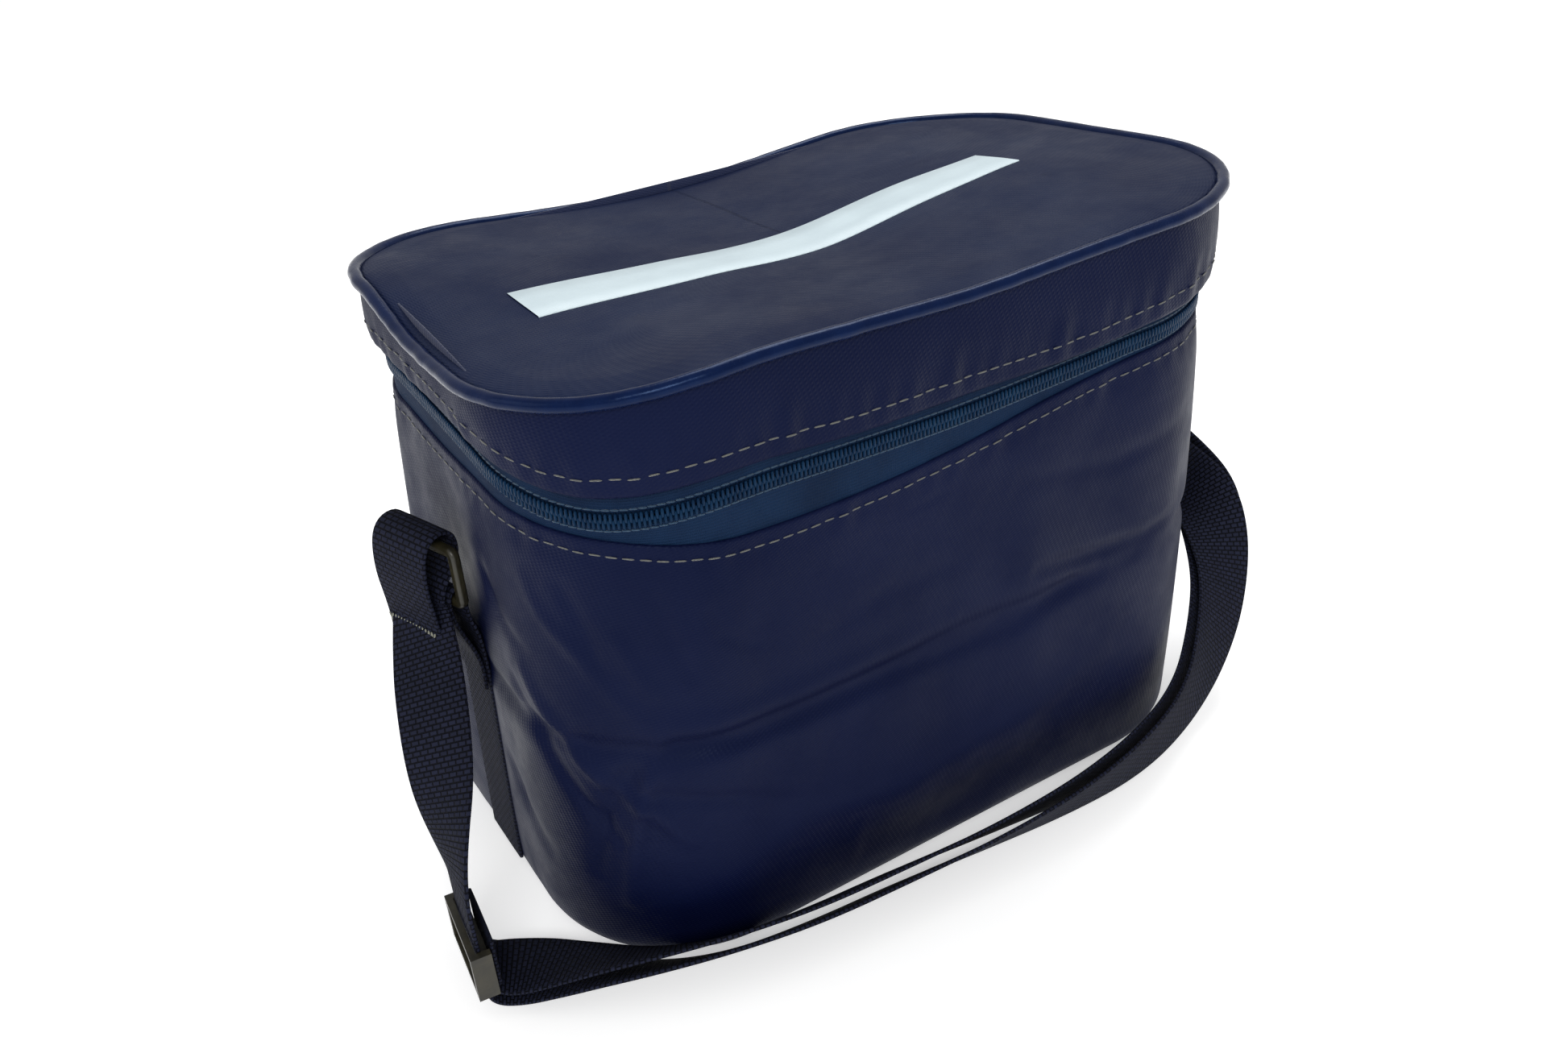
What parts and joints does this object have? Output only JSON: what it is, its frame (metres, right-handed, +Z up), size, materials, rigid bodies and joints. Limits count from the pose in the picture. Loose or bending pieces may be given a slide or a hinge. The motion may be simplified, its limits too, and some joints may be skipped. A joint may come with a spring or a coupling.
{
  "type": "insulated cooler bag",
  "caption": "Soft insulated cooler bag with a zipped hinged lid, piped seam, side rings and a webbing shoulder strap.",
  "frame": {"origin": "middle of the base, on the surface the bag stands on", "axes": "+Z up, +X along the long side towards the right-hand ring, -Y towards the front"},
  "size_m": [0.34, 0.213, 0.2052],
  "materials": {
    "shell_fabric": "satin",
    "lid_fabric": "satin",
    "band_fabric": "satin",
    "piping_cord": "gloss",
    "binding_tape": "matte",
    "foam": "matte",
    "board": "matte",
    "lining": "satin",
    "zip_tape": "matte",
    "zip_coil": "satin",
    "painted_metal": "satin",
    "webbing": "matte",
    "moulded_plastic": "satin"
  },
  "bodies": {
    "bag": {"outer_wall": "shell_fabric", "base_panel": "shell_fabric", "base_board": "board", "base_foam": "foam", "wall_foam": "foam", "liner_floor": "lining", "liner_wall": "lining", "rim_binding": "binding_tape", "hinge_strip": "shell_fabric", "zip_tape_lower": "zip_tape", "zip_coil_lower": "zip_coil", "side_webbing_left": "webbing", "side_webbing_right": "webbing", "shoulder_strap": "webbing"},
    "lid": {"lid_top": "lid_fabric", "lid_skirt": "shell_fabric", "lid_piping": "piping_cord", "lid_foam": "foam", "lid_liner": "lining", "lid_band": "band_fabric", "lid_binding": "binding_tape", "zip_tape_upper": "zip_tape", "zip_coil_upper": "zip_coil"},
    "slider": {"zip_slider": "painted_metal"},
    "pull": {"zip_pull": "painted_metal"},
    "left_ring": {"ring_left": "moulded_plastic"},
    "right_ring": {"ring_right": "moulded_plastic"},
    "adjuster": {"strap_adjuster": "moulded_plastic"}
  },
  "joints": [
    {"name": "lid_hinge", "type": "hinge", "parent": "bag", "child": "lid", "pos_m": [0, 0.0935, 0.17], "axis": [-1, 0, 0], "range_deg": [0, 115]},
    {"name": "slider_slide", "type": "slide", "parent": "bag", "child": "slider", "axis": [0, -1, 0], "range_m": [0, 0.058]},
    {"name": "pull_flip", "type": "hinge", "parent": "slider", "child": "pull", "pos_m": [0.13256, 0.03, 0.172], "axis": [0, 0, -1], "range_deg": [0, 170]},
    {"name": "left_ring_swing", "type": "hinge", "parent": "bag", "child": "left_ring", "pos_m": [-0.14115, 0, 0.116], "axis": [0.3419, -0.9397, 0], "range_deg": [-4, 4]},
    {"name": "right_ring_swing", "type": "hinge", "parent": "bag", "child": "right_ring", "pos_m": [0.14115, 0, 0.116], "axis": [-0.3419, -0.9397, 0], "range_deg": [-4, 4]},
    {"name": "adjuster_slide", "type": "slide", "parent": "bag", "child": "adjuster", "axis": [0, 0, 1], "range_m": [0, 0.012]}
  ]
}
